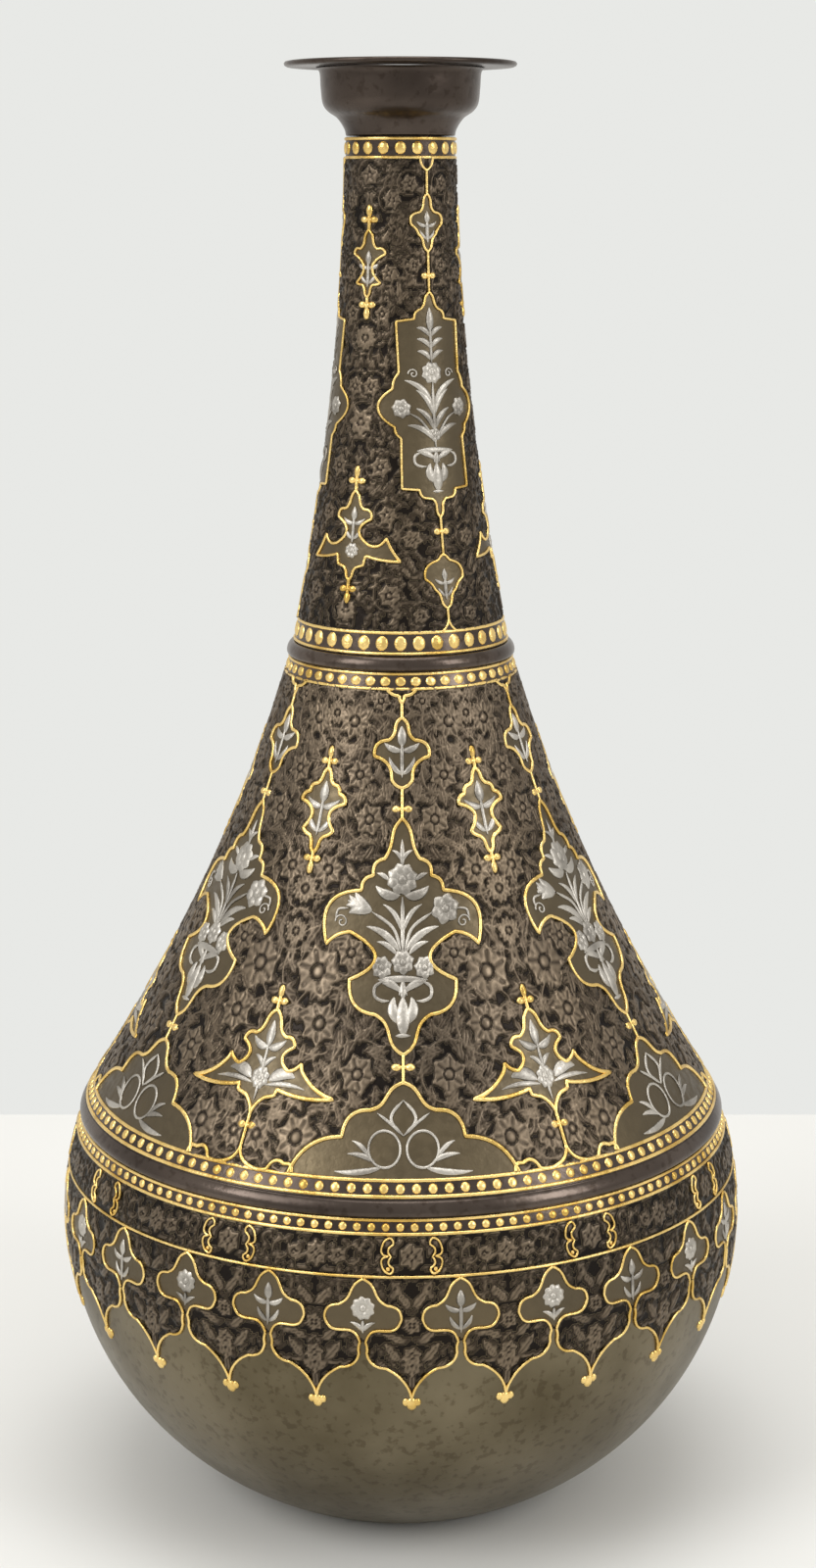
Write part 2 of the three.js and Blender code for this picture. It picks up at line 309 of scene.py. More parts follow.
class Relief:
    """Carving on one repeat of the ornament: a grid of angle by height, joined up after period degrees."""

    def __init__(self, period, columns, low, high, rows):
        self.period = period
        self.angle = (np.arange(columns) / columns - 0.5) * period
        self.z = np.linspace(low, high, rows)
        self.radius = body_radius(self.z)
        self.height = np.zeros((rows, columns))

    def local(self, angle, z, reach):
        """The rows and columns within reach of a point, and their flat coordinates from it."""
        rows = np.abs(self.z - z) < reach
        turn = (self.angle - angle + self.period / 2) % self.period - self.period / 2
        scale = float(body_radius(z)) * math.pi / 180
        columns = np.abs(turn) * scale < reach
        return rows, columns, turn[columns][None, :] * scale, (self.z[rows] - z)[:, None]

    def put(self, rows, columns, value):
        """Raises the carving to a value where it is lower."""
        window = np.ix_(rows, columns)
        self.height[window] = np.maximum(self.height[window], value)

    def leaf(self, angle, z, heading, length, width, bend, top=1.0):
        """A leaf: its middle line is a parabola, its width a lobed sine, its section a veined ridge."""
        rows, columns, x, y = self.local(angle, z, length * 1.1)
        if not rows.any() or not columns.any():
            return
        c, s = math.cos(heading), math.sin(heading)
        u = (x * c + y * s) / length
        v = -x * s + y * c - bend * length * u * u
        lobes = 1 + 0.16 * np.cos(6 * np.pi * u)
        half = width / 2 * np.sin(np.pi * np.clip(u, 0, 1) ** 0.8) ** 0.75 * lobes
        ratio = np.abs(v) / np.maximum(half, 1e-6)
        body = np.sqrt(np.clip(1 - ratio ** 2, 0, 1))
        vein = 0.45 * np.exp(-(v / (0.09 * width + 0.05)) ** 2) * (u < 0.8)
        value = top * (0.35 + 0.65 * body - vein) * (ratio < 1) * (u > 0) * (u < 1)
        self.put(rows, columns, value)

    def flower(self, angle, z, radius, petals, heading):
        """Petals are leaves round a domed eye."""
        for k in range(petals):
            turn = heading + 2 * math.pi * k / petals
            self.leaf(angle, z, turn, radius, 1.75 * radius * math.sin(math.pi / petals), 0.1)
        rows, columns, x, y = self.local(angle, z, radius)
        distance = np.hypot(x, y) / (radius * 0.26)
        window = np.ix_(rows, columns)
        eye = np.sqrt(np.clip(1 - distance ** 2, 0, 1))
        inside = distance < 1.25
        self.height[window] = np.where(inside, 0.15 + 0.85 * eye, self.height[window])

    def stem(self, angle, z, radius, start, sweep, width):
        """A scrolling stem with a rounded section: an arc that winds inwards as it turns."""
        rows, columns, x, y = self.local(angle, z, radius + width)
        turn = (np.arctan2(y, x) - start) % (2 * np.pi)
        spiral = radius * (1 - 0.35 * turn / (2 * np.pi))
        off = np.abs(np.hypot(x, y) - spiral) / (width / 2)
        self.put(rows, columns, 0.85 * np.sqrt(np.clip(1 - off ** 2, 0, 1)) * (turn < sweep))

    def both(self, shape, angle, *rest):
        """Puts a shape on both sides of the centre line, with a leaf's or a flower's heading mirrored."""
        getattr(self, shape)(angle, *rest)
        other = list(rest)
        if shape == "leaf":
            other[1] = math.pi - rest[1]
            other[4] = -rest[4]
        if shape == "flower":
            other[3] = math.pi - rest[3]
        getattr(self, shape)(-angle, *other)

    def flatten(self, centre, path, value):
        """Levels the ground in a closed outline: the points with an odd number of edges to their right."""
        turn = (self.angle - centre + self.period / 2) % self.period - self.period / 2
        x = np.radians(turn)[None, :] * self.radius[:, None]
        y = self.z[:, None] + 0 * x
        inside = np.zeros(x.shape, bool)
        for (ax, ay), (bx, by) in zip(path, np.roll(path, -1, 0)):
            crosses = (ay > y) != (by > y)
            if abs(by - ay) > 1e-9:
                inside ^= crosses & (x < (bx - ax) * (y - ay) / (by - ay) + ax)
        self.height[inside] = value

    def ribbon(self, centre, path, reach=0.5):
        """Lowers the carving along a gold wire so the wire lies in it."""
        for px, pz in resample(path, 0.35):
            angle = centre + math.degrees(px / float(body_radius(pz)))
            rows, columns, x, y = self.local(angle, pz, reach)
            window = np.ix_(rows, columns)
            lowered = np.minimum(self.height[window], WIRE_BED)
            self.height[window] = np.where(np.hypot(x, y) < reach, lowered, self.height[window])

    def frames(self, centre, halves):
        """Plain ground inside closed frames."""
        for half in halves:
            self.flatten(centre, whole_path(half), PLAIN)

    def beds(self, centre, halves):
        """Beds for the wires of frames and open outlines."""
        for half in halves:
            self.ribbon(centre, half_path(half))
            self.ribbon(centre, mirrored(half_path(half)))

    def stem_beds(self, centre, stems, reach):
        """Beds for straight stems, given as (high end, low end)."""
        for high, low in stems:
            self.ribbon(centre, np.array([(0, high), (0, low)]), reach)


def fill_leaves(relief, count, low, high, size, seed, centres):
    """Scatters leaves that turn round the nearest flower, wherever the ground isn't carved yet."""
    draw = np.random.default_rng(seed)
    half = relief.period / 2
    for _ in range(count):
        angle, z = draw.uniform(0, half), draw.uniform(low, high)
        row = int(np.argmin(np.abs(relief.z - z)))
        column = int((angle / relief.period + 0.5) * relief.height.shape[1]) % relief.height.shape[1]
        if relief.height[row, column] > TAKEN:
            continue
        scale = math.radians(1) * float(body_radius(z))
        offsets = [((angle - a) * scale, z - b) for a, b in centres]
        dx, dz = min(offsets, key=lambda p: p[0] ** 2 + p[1] ** 2)
        heading = math.atan2(dz, dx) + draw.uniform(0.5, 1.4) * (1 if draw.random() < 0.6 else -1)
        length = size * draw.uniform(0.75, 1.35)
        width = length * 0.36
        bend = draw.uniform(-0.35, 0.35)
        relief.both("leaf", angle, z, heading, length, width, bend, draw.uniform(0.6, 1))


# Flowers of the carving: (degrees from the chain of cartouches, height, radius, petals)
SHOULDER_FLOWERS = [
    (21, 216.8, 4.6, 8), (9.5, 222, 2.6, 6), (23.5, 181, 4.2, 7), (30, 176, 3.6, 6), (21.5, 157.5, 6.4, 6),
    (11.5, 193.5, 4.0, 6), (13.4, 162.4, 3.9, 6), (19, 146, 5.2, 7), (9.4, 135.5, 4.6, 6),
    (19.8, 121, 5.6, 7), (27.6, 120.5, 4.0, 6), (30, 166, 3.2, 6), (16.4, 204.0, 3.8, 6),
    (30, 218.5, 3.0, 6)]
NECK_FLOWERS = [
    (60, 352, 2.6, 5), (36, 346, 2.4, 6), (38, 328, 2.4, 6), (60, 312, 3.2, 6), (52, 300, 2.6, 6),
    (60, 291, 3.4, 7), (42, 280, 2.8, 6), (20, 262, 2.6, 6), (36, 268, 2.6, 6), (60, 244, 3.0, 6),
    (34, 248, 3.0, 6), (16, 243, 2.2, 6), (14, 330, 2.0, 6), (44, 318, 2.2, 5), (18, 350, 2.2, 6)]
WREATH_LEAVES = 7


def carve_shoulder():
    """Flowers with scrolling stems and wreaths of leaves between the gold frames."""
    relief = Relief(SHOULDER_PITCH, 270, 113.2, 225.4, 330)
    between = SHOULDER_PITCH / 2
    for angle, z, radius, petals in SHOULDER_FLOWERS:
        scale = math.radians(1) * float(body_radius(z))
        reach = radius * 1.1
        relief.both("stem", angle, z, radius * 1.75, 0.6, 4.6, 0.8)
        relief.both("flower", angle, z, radius, petals, 0.3)
        for k in range(WREATH_LEAVES):
            turn = 2 * math.pi * k / WREATH_LEAVES
            leaf_angle = angle + reach * math.cos(turn) / scale
            leaf_z = z + reach * math.sin(turn)
            relief.both("leaf", leaf_angle, leaf_z, turn + 0.9, radius * 1.05, radius * 0.42, 0.35, 0.85)
    fill_leaves(relief, 2600, 113.5, 225, 3.9, SEED, [(a, z) for a, z, _, _ in SHOULDER_FLOWERS])
    relief.frames(0, (SHOULDER_CARTOUCHE, SMALL_CARTOUCHE))
    arch = half_path(FOOT_ARCH)
    end, below = arch[-1, 0], 110
    relief.flatten(0, np.vstack([arch, [end, below], [-end, below], mirrored(arch[::-1])]), PLAIN)
    relief.frames(between, (LOZENGE, SPREAD_LEAF))
    relief.beds(0, (SHOULDER_CARTOUCHE, SMALL_CARTOUCHE, FOOT_ARCH, TOP_FLARE))
    relief.beds(between, (LOZENGE, SPREAD_LEAF, STEM_FOOT))
    relief.stem_beds(0, ((222, 193), (141, 133)), 0.75)
    relief.stem_beds(between, ((210, 204), (185, 180), (153, 147), (125, 117)), 0.75)
    return relief


def carve_neck():
    """Smaller flowers with scrolling stems, and leaves between them."""
    relief = Relief(NECK_PITCH, 114, 238.8, 356.6, 280)
    between = NECK_PITCH / 2
    for angle, z, radius, petals in NECK_FLOWERS:
        relief.both("flower", angle, z, radius, petals, 0.3)
        relief.both("stem", angle, z, radius * 1.6, 0.6, 4.4, 0.55)
    fill_leaves(relief, 1500, 239, 356, 2.7, SEED + 1, [(a, z) for a, z, _, _ in NECK_FLOWERS])
    relief.frames(0, (NECK_CARTOUCHE, NECK_SMALL, NECK_UPPER))
    relief.frames(between, (NECK_LOZENGE, NECK_LEAF))
    relief.beds(0, (NECK_CARTOUCHE, NECK_SMALL, NECK_UPPER))
    relief.beds(between, (NECK_LOZENGE, NECK_LEAF))
    relief.stem_beds(0, ((355, 322), (268, 241)), 0.6)
    relief.stem_beds(between, ((344, 338), (322, 317), (280, 273), (252, 245)), 0.6)
    return relief


def carve_belly():
    """A row of medallions and panels, and below it flowers between leaves down to the pendants' points."""
    relief = Relief(MEDALLION_PITCH, 92, 54.0, 101.6, 100)
    relief.flower(0, PANEL_MIDDLE, 3.3, 6, math.pi / 6)
    relief.flower(LAPPET_PITCH, PANEL_MIDDLE, 3.2, 8, 0)
    for angle in (9.2, 20.8, -9.2, -20.8):
        side = 1 if angle % MEDALLION_PITCH < LAPPET_PITCH else -1
        relief.stem(angle, PANEL_MIDDLE, 2.6, 0, 6.2, 0.6)
        relief.flower(angle + 2.2 * side, PANEL_MIDDLE, 1.9, 5, 0)
    for angle in (0, LAPPET_PITCH):
        relief.flower(angle, 71.5, 2.6, 6, 0.2)
        relief.flower(angle, 79.5, 2.4, 6, 0.2)
    up = math.pi / 2
    for side in (-1, 1):
        for angle in (0, LAPPET_PITCH):
            relief.leaf(angle + side * 1.6, 70.0, up - side * 0.9, 6.5, 2.4, 0.25 * side)
            relief.leaf(angle, 66.0, up - side * 0.5, 5.5, 2.2, 0.2 * side)
            relief.leaf(angle, 84.0, up - side * 0.9, 6.0, 2.2, 0.2 * side)
            outward = side * 0.6 + (math.pi if side < 0 else 0)
            relief.leaf(angle + side * 1.2, 75.0, outward, 5.5, 2.2, 0.2)
            relief.leaf(angle, 62.0, up, 5.0, 1.8, 0)
    centres = [(angle, z) for z in (71.5, 79.5, PANEL_MIDDLE) for angle in (0, LAPPET_PITCH)]
    fill_leaves(relief, 500, 56, 101, 2.9, SEED + 2, centres)
    for centre in (0.5 * LAPPET_PITCH, 1.5 * LAPPET_PITCH):
        relief.frames(centre, (UPPER_LAPPET,))
        relief.beds(centre, (UPPER_LAPPET,))
    relief.beds(0, (MEDALLION, PANEL_END))
    for low, high in ((90.7, 92.1), (100.5, 102)):
        rows = (relief.z > low) & (relief.z < high)
        relief.height[rows] = np.minimum(relief.height[rows], BAND_BED)
    return relief


DEPTH, GROUND_LIFT, SUNK = 0.6, 0.06, -0.5


def relief_pieces(relief, name, repeats, turn, sectors, edge=None):
    """Carved skins: the repeat is laid round the body and cut into sectors, each small enough for a piece."""
    height = np.tile(relief.height, (1, repeats))
    columns = height.shape[1]
    lift = GROUND_LIFT + DEPTH * height
    if edge is not None:
        lift, height = edge(relief, lift, height)
    per = columns // sectors
    angle = np.radians(turn) + (np.arange(columns + 1) / columns - 0.5 / repeats) * 2 * np.pi
    for s in range(sectors):
        take = np.arange(s * per, (s + 1) * per + 1 if s < sectors - 1 else columns + 1)
        a, z = np.meshgrid(angle[take], relief.z)
        h = lift[:, take % columns]
        batch = Batch()
        batch.add(on_body(a, z, h), grid_faces(*h.shape))
        suffix = f"_{s + 1}" if sectors > 1 else ""
        piece = batch.build(f"{name}{suffix}", CARVED, shade=height[:, take % columns])


def belly_edge(relief, lift, height):
    """Sinks the carved skin under the plain bowl below the pendants' edge."""
    half = half_path(PENDANT)
    offset = np.abs((relief.angle + LAPPET_PITCH / 2) % LAPPET_PITCH - LAPPET_PITCH / 2)
    order = np.argsort(half[:, 1])
    reach = np.degrees(half[order, 0] / body_radius(half[order, 1]))
    limit = np.interp(relief.z, half[order, 1], reach)
    limit = np.where(relief.z < PENDANT[-1][1], -1.0, np.where(relief.z > PENDANT[0][1], 99, limit))
    outside = np.tile(offset[None, :] > limit[:, None], (1, MEDALLIONS))
    return np.where(outside, SUNK, lift), np.where(outside, BAND_BED, height)


def new_group(name, outputs, inputs):
    """A node group with named sockets, and its input and output nodes."""
    group = bpy.data.node_groups.new(name, "ShaderNodeTree")
    for label, kind, value in inputs:
        socket = group.interface.new_socket(label, in_out="INPUT", socket_type=kind)
        socket.default_value = value
    for label, kind in outputs:
        group.interface.new_socket(label, in_out="OUTPUT", socket_type=kind)
    return group, group.nodes.new("NodeGroupInput"), group.nodes.new("NodeGroupOutput")


def set_inputs(tree, node, **inputs):
    """Sets a node's inputs to values, or joins them to outputs. A _ in a name stands for a space."""
    for label, given in inputs.items():
        socket = node.inputs[label.replace("_", " ")]
        if isinstance(given, bpy.types.NodeSocket):
            tree.links.new(given, socket)
        else:
            socket.default_value = given
    return node


def mottle_group():
    """Cloudy patches and fine pits on Object coordinates: a cloud value and a pit value."""
    group, given, result = new_group(
        "mottle", [("Cloud", "NodeSocketFloat"), ("Pits", "NodeSocketFloat")],
        [("Cloud Scale", "NodeSocketFloat", 18.0), ("Pit Scale", "NodeSocketFloat", 420.0)])
    place = group.nodes.new("ShaderNodeTexCoord")
    for scale, output, detail in (("Cloud Scale", "Cloud", 6.0), ("Pit Scale", "Pits", 3.0)):
        noise = group.nodes.new("ShaderNodeTexNoise")
        set_inputs(group, noise, Detail=detail, Vector=place.outputs["Object"], Scale=given.outputs[scale])
        ramp = group.nodes.new("ShaderNodeMapRange")
        set_inputs(group, ramp, From_Min=0.36, From_Max=0.66, Value=noise.outputs["Fac"])
        group.links.new(ramp.outputs["Result"], result.inputs[output])
    return group


MOTTLE = mottle_group()


def ramp_node(tree, value, stops):
    """A value as a colour, by stops of (value, colour)."""
    ramp = tree.nodes.new("ShaderNodeValToRGB")
    elements = ramp.color_ramp.elements
    while len(elements) < len(stops):
        elements.new(0.5)
    for element, (place, colour) in zip(elements, stops):
        element.position = place
        element.color = (*colour, 1)
    tree.links.new(value, ramp.inputs["Fac"])
    return ramp.outputs["Color"]


def map_node(tree, value, low, high):
    """A value from 0 to 1 spread from low to high."""
    node = tree.nodes.new("ShaderNodeMapRange")
    return set_inputs(tree, node, To_Min=low, To_Max=high, Value=value).outputs["Result"]


def multiplied(tree, first, second):
    """Two colours multiplied."""
    mix = tree.nodes.new("ShaderNodeMix")
    mix.data_type = "RGBA"
    mix.blend_type = "MULTIPLY"
    return set_inputs(tree, mix, Factor=1.0, A=first, B=second).outputs["Result"]


def metal(name, metallic=1.0):
    """A metal with the mottle group placed in it."""
    material = bpy.data.materials.new(name)
    material.use_nodes = True
    tree = material.node_tree
    shader = tree.nodes["Principled BSDF"]
    shader.inputs["Metallic"].default_value = metallic
    mottle = tree.nodes.new("ShaderNodeGroup")
    mottle.node_tree = MOTTLE
    return material, tree, shader, mottle


PIT_DEPTH = 0.0002


def add_bump(tree, shader, height, strength):
    """Fine pits in the surface."""
    bump = tree.nodes.new("ShaderNodeBump")
    set_inputs(tree, bump, Strength=strength, Distance=PIT_DEPTH, Height=height)
    set_inputs(tree, shader, Normal=bump.outputs["Normal"])


def carved_steel():
    """Dark patinated steel, with painted shade that makes it nearly black in the cuts and painted light that
    makes it warm grey-brown on the tops.
    """
    material, tree, shader, mottle = metal("carved_steel", 0.85)
    relief = tree.nodes.new("ShaderNodeAttribute")
    relief.attribute_name = "relief"
    # Painted shade and light by carving level: nearly black in the cuts, lit warm grey-brown on the tops
    stops = [(0.0, (0.012, 0.009, 0.007)), (0.1, (0.118, 0.096, 0.060)), (0.14, (0.118, 0.096, 0.060)),
             (0.17, (0.016, 0.012, 0.009)), (0.55, (0.052, 0.040, 0.028)), (1.0, (0.230, 0.184, 0.132))]
    colour = ramp_node(tree, relief.outputs["Fac"], stops)
    tint = ramp_node(tree, mottle.outputs["Cloud"], [(0, (0.78, 0.76, 0.76)), (1, (1.08, 1.03, 0.97))])
    rough = map_node(tree, mottle.outputs["Pits"], 0.34, 0.52)
    set_inputs(tree, shader, Base_Color=multiplied(tree, colour, tint), Roughness=rough)
    add_bump(tree, shader, mottle.outputs["Pits"], 0.25)
    return material


def plain_steel(name, dark, light, rough):
    """Smooth steel between two tones, cloudy, with darker pits, and duller where it is dark."""
    material, tree, shader, mottle = metal(name, 0.9)
    set_inputs(tree, mottle, Cloud_Scale=26.0)
    middle = tuple((a + b) / 2 for a, b in zip(dark, light))
    cloud = ramp_node(tree, mottle.outputs["Cloud"], [(0.0, dark), (0.55, middle), (1.0, light)])
    pits = ramp_node(tree, mottle.outputs["Pits"], [(0.0, (0.74, 0.71, 0.68)), (0.3, (1, 1, 1))])
    dull = map_node(tree, mottle.outputs["Cloud"], rough + 0.08, rough - 0.04)
    set_inputs(tree, shader, Base_Color=multiplied(tree, cloud, pits), Roughness=dull)
    add_bump(tree, shader, mottle.outputs["Pits"], 0.12)
    return material


def inlay_metal(name, dark, light, rough):
    """Gold or silver, a little duller in patches, with a hammered skin."""
    material, tree, shader, mottle = metal(name)
    set_inputs(tree, mottle, Cloud_Scale=90.0, Pit_Scale=900.0)
    colour = ramp_node(tree, mottle.outputs["Cloud"], [(0.0, dark), (0.6, light)])
    patches = map_node(tree, mottle.outputs["Pits"], rough, rough + 0.15)
    set_inputs(tree, shader, Base_Color=colour, Roughness=patches)
    add_bump(tree, shader, mottle.outputs["Pits"], 0.3)
    return material


CARVED = carved_steel()
BOWL_STEEL = plain_steel("bowl_steel", (0.098, 0.078, 0.043), (0.180, 0.150, 0.095), 0.38)
DARK_STEEL = plain_steel("dark_steel", (0.045, 0.034, 0.028), (0.12, 0.094, 0.078), 0.24)
GOLD = inlay_metal("gold_inlay", (0.62, 0.40, 0.10), (0.93, 0.68, 0.26), 0.24)
SILVER = inlay_metal("silver_inlay", (0.27, 0.25, 0.22), (0.52, 0.49, 0.44), 0.38)


def dress_nodes():
    """The CAD nodes' finishes. The shoulder and the neck stay in view behind their carving."""
    finishes = {"bowl": BOWL_STEEL}
    for name in ("shoulder", "neck", "mouth_cup", "rim_flange", "girdle_moulding", "collar_moulding"):
        finishes[name] = DARK_STEEL
    for name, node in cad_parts.items():
        node.data.materials.clear()
        node.data.materials.append(finishes.get(name, GOLD))


dress_nodes()


def turned(name, outline, material, replaces, segments=160):
    """An outline of (radius, height) turned about the axis, and closed unless it starts at the axis."""
    outline = np.asarray(outline, float)
    turn = full_turn(segments)[None, :]
    r, z = outline[:, :1], outline[:, 1:]
    points = np.stack([r * np.sin(turn), -r * np.cos(turn), z + 0 * turn], axis=-1) * MM
    batch = Batch()
    closes = outline[0, 0] > 0.01
    batch.add(points, grid_faces(len(outline), segments, closes, True))
    batch.build(name, material, replaces)


def smooth(points, count):
    """Points along a Catmull-Rom curve through a short list."""
    p = np.asarray(points, float)
    p = np.vstack([2 * p[0] - p[1], p, 2 * p[-1] - p[-2]])
    t = np.linspace(0, len(points) - 1.0001, count)
    k = t.astype(int)
    f = (t - k)[:, None]
    a, b, c, d = p[k], p[k + 1], p[k + 2], p[k + 3]
    square = 2 * a - 5 * b + 4 * c - d
    cube = 3 * b - a - 3 * c + d
    return 0.5 * (2 * b + (c - a) * f + square * f ** 2 + cube * f ** 3)


AXIS, BOWL_TOP = 0.005, 105.0


def make_bowl():
    """The bowl's outside from the foot up, and its inside back down to the axis."""
    z = np.linspace(1.2, BOWL_TOP, 70)
    foot = [(AXIS, 0.0), (30, 0.0), (36.0, 0.0), (40.5, 0.5)]
    outside = np.stack([body_radius(z), z], 1)
    inside = np.stack([body_radius(z) - WALL * 1.1, z], 1)[::-1]
    inside = inside[inside[:, 1] > 4]
    outline = np.vstack([foot, outside, inside, [(36, 2.4), (AXIS, 2.4)]])
    turned("bowl_shell", outline, BOWL_STEEL, ["bowl"], 200)


def make_mouth():
    """The cup that the neck opens into, and the flat disc on it."""
    outside = smooth([(13.8, 361.8), (14.3, 363.6), (16.0, 366.1), (18.4, 367.8), (19.7, 369.8),
                      (20.15, 373.6), (20.4, 377.2), (21.3, 378.3)], 40)
    inside = smooth([(19.0, 378.3), (18.6, 374), (18.0, 370.4), (16.9, 369), (14.6, 367.4), (13.0, 365),
                     (12.2, 361.8)], 26)
    turned("mouth_cup_shell", np.vstack([outside, inside]), DARK_STEEL, ["mouth_cup"], 128)
    rim = [(18.6, 378.5), (28.6, 378.6), (29.2, 378.9), (29.4, 379.4), (29.1, 379.85), (28.4, 380.0),
           (19.2, 380.0), (18.7, 379.7)]
    turned("rim_flange_disc", rim, DARK_STEEL, ["rim_flange"], 160)


def make_moulding(name, low, high, proud):
    """A half-round ring that stands proud of the body by a half sine."""
    turn = np.linspace(0, np.pi, 12)
    z = low + (high - low) * (1 - np.cos(turn)) / 2
    arc = np.stack([body_radius(z) + proud * (0.35 + np.sin(turn)), z], 1)
    back = [(float(body_radius(high)) - WALL, high), (float(body_radius(low)) - WALL, low)]
    turned(name + "_ring", np.vstack([arc, back]), DARK_STEEL, [name])


make_bowl()
make_mouth()
make_moulding("girdle_moulding", GIRDLE_BOTTOM, GIRDLE_TOP, 1.0)
make_moulding("collar_moulding", COLLAR_BOTTOM, COLLAR_TOP, 1.1)

# Gold bands: (name, lower rail, upper rail, beads, a bead's width)
BANDS = [("neck_top_band", 356.4, 361.0, 20, 3.0), ("neck_base_band", 233.6, 238.8, 36, 3.4),
         ("shoulder_top_band", 225.0, 228.7, 48, 2.9), ("shoulder_base_band", 109.9, 113.3, 132, 2.5),
         ("belly_band", 101.4, 104.6, 156, 2.2)]
RAIL, RAIL_SEGMENTS = 0.9, 220
BELT_ROWS, BELT_SEGMENTS = 4, 200


def rail(batch, z, width):
    """A half-round gold ring round the body."""
    angle = full_turn(RAIL_SEGMENTS)[:, None]
    across = z + ROUND[None, :, 0] * width / 2
    rise = 0.05 + 0.5 * ROUND[None, :, 1] + 0 * angle
    faces = grid_faces(RAIL_SEGMENTS, len(ROUND), True, True)[:, ::-1]
    batch.add(on_body(angle + 0 * across, across + 0 * angle, rise), faces)


def bead_band(name, low, high, count, bead_width):
    """Two rails with a row of beads between them."""
    batch = Batch()
    rail(batch, low, RAIL)
    rail(batch, high, RAIL)
    middle = (low + high) / 2
    room = (high - low - RAIL) / 2
    for k in range(count):
        batch.centre = 360 * k / count
        dome(batch, 0, middle, bead_width / 2, room * 0.92, 0.55, 10)
    batch.build(name + "_beads", GOLD, [name])


def belt(name, low, high):
    """The dark strip behind a band's beads."""
    angle, z = np.meshgrid(full_turn(BELT_SEGMENTS), np.linspace(low, high, BELT_ROWS))
    batch = Batch()
    batch.add(on_body(angle, z, 0.12 + 0 * angle), grid_faces(BELT_ROWS, BELT_SEGMENTS, False, True))
    batch.build(name, DARK_STEEL)


for row in BANDS:
    bead_band(*row)
for name, low, high, _, _ in BANDS:
    belt(name + "_ground", low - 0.5, high + 0.5)

relief_pieces(carve_shoulder(), "shoulder_carving", SHOULDER_REPEATS, SHOULDER_TURN, 6)
relief_pieces(carve_neck(), "neck_carving", NECK_REPEATS, NECK_TURN, 1)
relief_pieces(carve_belly(), "belly_carving", MEDALLIONS, BELLY_TURN, 2, belly_edge)


def shoulder_wires():
    """The shoulder's gold: chains of cartouches, and between them a lozenge over a spread leaf."""
    for k in range(SHOULDER_REPEATS):
        centre = SHOULDER_TURN + SHOULDER_PITCH * k
        between = centre + SHOULDER_PITCH / 2
        batch = Batch(centre)
        frame_wire(batch, SHOULDER_CARTOUCHE)
        frame_wire(batch, SMALL_CARTOUCHE)
        side_wires(batch, FOOT_ARCH)
        side_wires(batch, TOP_FLARE)
        for high, low in ((222, 217.8), (201.4, 193.6), (140.3, 133.7)):
            stem_wire(batch, high, low)
        knot(batch, 196.1, 2.5)
        knot(batch, 137.3, 2.8)
        batch.build(f"shoulder_cartouche_wire_{k + 1}", GOLD, [f"shoulder_cartouche_{k + 1}"])
        batch = Batch(between)
        frame_wire(batch, LOZENGE, 1.2)
        finial(batch, 206.7, 1, 204.6)
        finial(batch, 183.3, -1, 185)
        batch.build(f"shoulder_lozenge_wire_{k + 1}", GOLD, [f"shoulder_lozenge_{k + 1}"])
        batch = Batch(between)
        frame_wire(batch, SPREAD_LEAF, 1.1)
        side_wires(batch, STEM_FOOT)
        stem_wire(batch, 125, 116.8, 1.1)
        finial(batch, 149.9, 1, 147.5)
        knot(batch, 122.1, 2.4)
        batch.build(f"shoulder_spread_leaf_wire_{k + 1}", GOLD, [f"shoulder_spread_leaf_{k + 1}"])


def neck_wires():
    """The neck's gold: chains of cartouches, and between them a lozenge over a spread leaf."""
    for k in range(NECK_REPEATS):
        centre = NECK_TURN + NECK_PITCH * k
        between = centre + NECK_PITCH / 2
        batch = Batch(centre)
        for half in (NECK_CARTOUCHE, NECK_SMALL, NECK_UPPER):
            frame_wire(batch, half, 0.75)
        for half in (NECK_FOOT_FLARE, NECK_TOP_FLARE):
            side_wires(batch, half, 0.75)
        for high, low in ((353.6, 347.4), (333.5, 323.2), (267.5, 257.8), (244.7, 241.2)):
            stem_wire(batch, high, low, 0.8)
        knot(batch, 327.4, 1.8)
        knot(batch, 263.8, 2.0)
        batch.build(f"neck_cartouche_wire_{k + 1}", GOLD)
        batch = Batch(between)
        frame_wire(batch, NECK_LOZENGE, 0.8)
        finial(batch, 341.2, 1, 338.5)
        finial(batch, 320.2, -1, 322.4)
        batch.build(f"neck_lozenge_wire_{k + 1}", GOLD)
        batch = Batch(between)
        frame_wire(batch, NECK_LEAF, 0.85)
        finial(batch, 276.4, 1, 273.6)
        finial(batch, 249.3, -1, 252)
        batch.build(f"neck_spread_leaf_wire_{k + 1}", GOLD)


def belly_wires():
    """The belly's gold: a line, the lappets with their finials, and the medallions."""
    batch = Batch()
    rail(batch, BELLY_LINE, 0.8)
    batch.build("belly_line_wire", GOLD, ["belly_line"])
    batch = Batch()
    for k in range(LAPPETS):
        batch.centre = BELLY_TURN + LAPPET_PITCH * (k + 0.5)
        side_wires(batch, UPPER_LAPPET, 0.8)
        batch.centre = BELLY_TURN + LAPPET_PITCH * k
        side_wires(batch, PENDANT, 0.85)
        dome(batch, 0, 57.6, 1.3, 1.8, 0.6)
        for side in (-1, 1):
            dome(batch, side * 1.4, 58.2, 0.9, 1.1, 0.55)
    batch.build("lappet_wires", GOLD)
    batch = Batch()
    for k in range(MEDALLIONS):
        batch.centre = centre = BELLY_TURN + MEDALLION_PITCH * k
        side_wires(batch, MEDALLION, 0.65)
        side_wires(batch, PANEL_END, 0.65)
        for side in (-1, 1):
            batch.centre = centre + side * 3.7
            for z in (99.4, 93.3):
                dome(batch, 0, z, 0.6, 0.6, 0.45, 8)
    batch.build("medallion_wires", GOLD)


shoulder_wires()
neck_wires()
belly_wires()

SILVER_LIFT = 0.1


